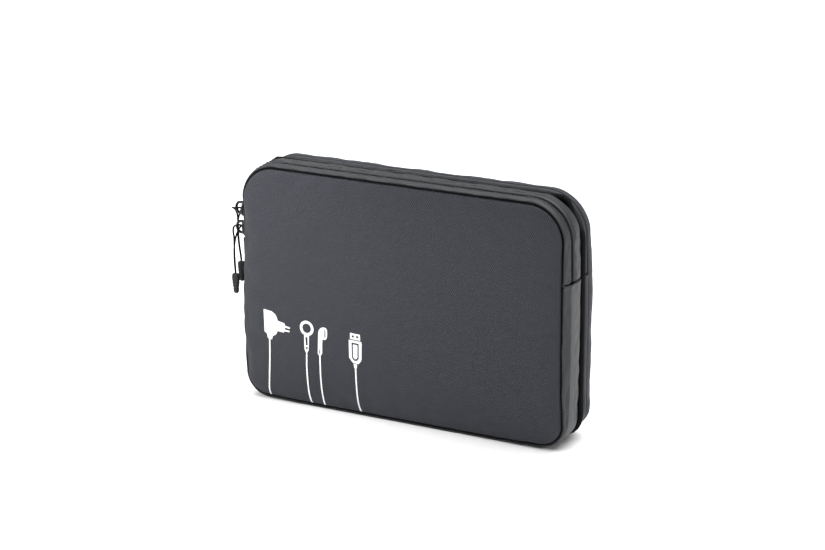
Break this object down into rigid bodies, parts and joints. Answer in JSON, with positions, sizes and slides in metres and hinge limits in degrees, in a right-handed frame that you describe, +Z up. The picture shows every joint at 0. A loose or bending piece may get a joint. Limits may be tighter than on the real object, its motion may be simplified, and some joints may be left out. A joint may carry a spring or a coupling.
{
  "type": "cable organizer pouch",
  "caption": "Soft rectangular pouch with a zipped front compartment and a zipped round-backed rear compartment, divided by a stiff panel with elastic loops and a net pocket.",
  "frame": {"origin": "on the surface that the pouch stands on, midway along its length and through its depth", "axes": "+X to the right along the pouch seen from the front, -Y out of the front panel, +Z up"},
  "size_m": [0.2573, 0.048, 0.17],
  "materials": {
    "panel_fabric": "coated diagonal-weave polyester, dull satin",
    "gusset_fabric": "smoother coated nylon, satin",
    "black_binding": "woven tape, matte",
    "zip_coil": "nylon coil, matte",
    "foam": "closed-cell foam, matte",
    "lining_fabric": "plain lining, satin",
    "stiffener": "sheet plastic, matte",
    "net": "knitted net, matte",
    "elastic": "ribbed elastic webbing, matte",
    "slider_metal": "black lacquered die casting, gloss",
    "cord": "braided polyester cord, matte",
    "pull_tip_plastic": "moulded soft plastic, satin"
  },
  "bodies": {
    "root": {"front_panel_lower": "panel_fabric", "front_foam_lower": "foam", "front_lining_lower": "lining_fabric", "front_welt_lower": "black_binding", "front_gusset_lower": "gusset_fabric", "front_zip_strip_body": "gusset_fabric", "front_zip_coil_body": "zip_coil", "divider_front_cover": "lining_fabric", "divider_board": "stiffener", "divider_rear_cover": "lining_fabric", "net_pocket": "net", "net_pocket_hem": "elastic", "elastic_loop_band": "elastic", "rear_gusset_lower": "gusset_fabric", "rear_zip_strip": "gusset_fabric", "rear_zip_coil_body": "zip_coil", "rear_panel_lower": "panel_fabric"},
    "front_flap": {"front_panel_flap": "panel_fabric", "front_foam_flap": "foam", "front_lining_flap": "lining_fabric", "front_welt_flap": "black_binding", "front_zip_strip_flap": "gusset_fabric", "front_zip_coil_flap": "zip_coil"},
    "rear_flap": {"rear_panel_flap": "panel_fabric", "rear_zip_coil_flap": "zip_coil"},
    "front_lower_slider": {"front_lower_slider": "slider_metal"},
    "front_upper_slider": {"front_upper_slider": "slider_metal"},
    "rear_slider": {"rear_slider": "slider_metal"},
    "front_lower_pull": {"front_lower_pull_cord": "cord", "front_lower_pull_tip": "pull_tip_plastic"},
    "front_upper_pull": {"front_upper_pull_cord": "cord", "front_upper_pull_tip": "pull_tip_plastic"},
    "rear_pull": {"rear_pull_cord": "cord", "rear_pull_tip": "pull_tip_plastic"}
  },
  "joints": [
    {"name": "front_flap_fold", "type": "hinge", "parent": "root", "child": "front_flap", "pos_m": [0, -0.024, 0.116], "axis": [1, 0, 0], "range_deg": [0, 100]},
    {"name": "rear_flap_fold", "type": "hinge", "parent": "root", "child": "rear_flap", "pos_m": [0, 0.024, 0.116], "axis": [-1, 0, 0], "range_deg": [0, 100]},
    {"name": "front_lower_slider_slide", "type": "slide", "parent": "root", "child": "front_lower_slider", "axis": [0, 0, 1], "range_m": [0, 0.003]},
    {"name": "front_upper_slider_slide", "type": "slide", "parent": "front_lower_slider", "child": "front_upper_slider", "axis": [0, 0, 1], "range_m": [0, 0.003]},
    {"name": "rear_slider_slide", "type": "slide", "parent": "root", "child": "rear_slider", "axis": [0, 0, 1], "range_m": [0, 0.014]},
    {"name": "front_lower_pull_swing", "type": "hinge", "parent": "front_lower_slider", "child": "front_lower_pull", "pos_m": [-0.1316, -0.0142, 0.1205], "axis": [0, 1, 0], "range_deg": [0, 30]},
    {"name": "front_upper_pull_swing", "type": "hinge", "parent": "front_upper_slider", "child": "front_upper_pull", "pos_m": [-0.1316, -0.0142, 0.1343], "axis": [0, 1, 0], "range_deg": [0, 30]},
    {"name": "rear_pull_swing", "type": "hinge", "parent": "rear_slider", "child": "rear_pull", "pos_m": [-0.1316, 0.00825, 0.1195], "axis": [0, 1, 0], "range_deg": [0, 30]}
  ]
}
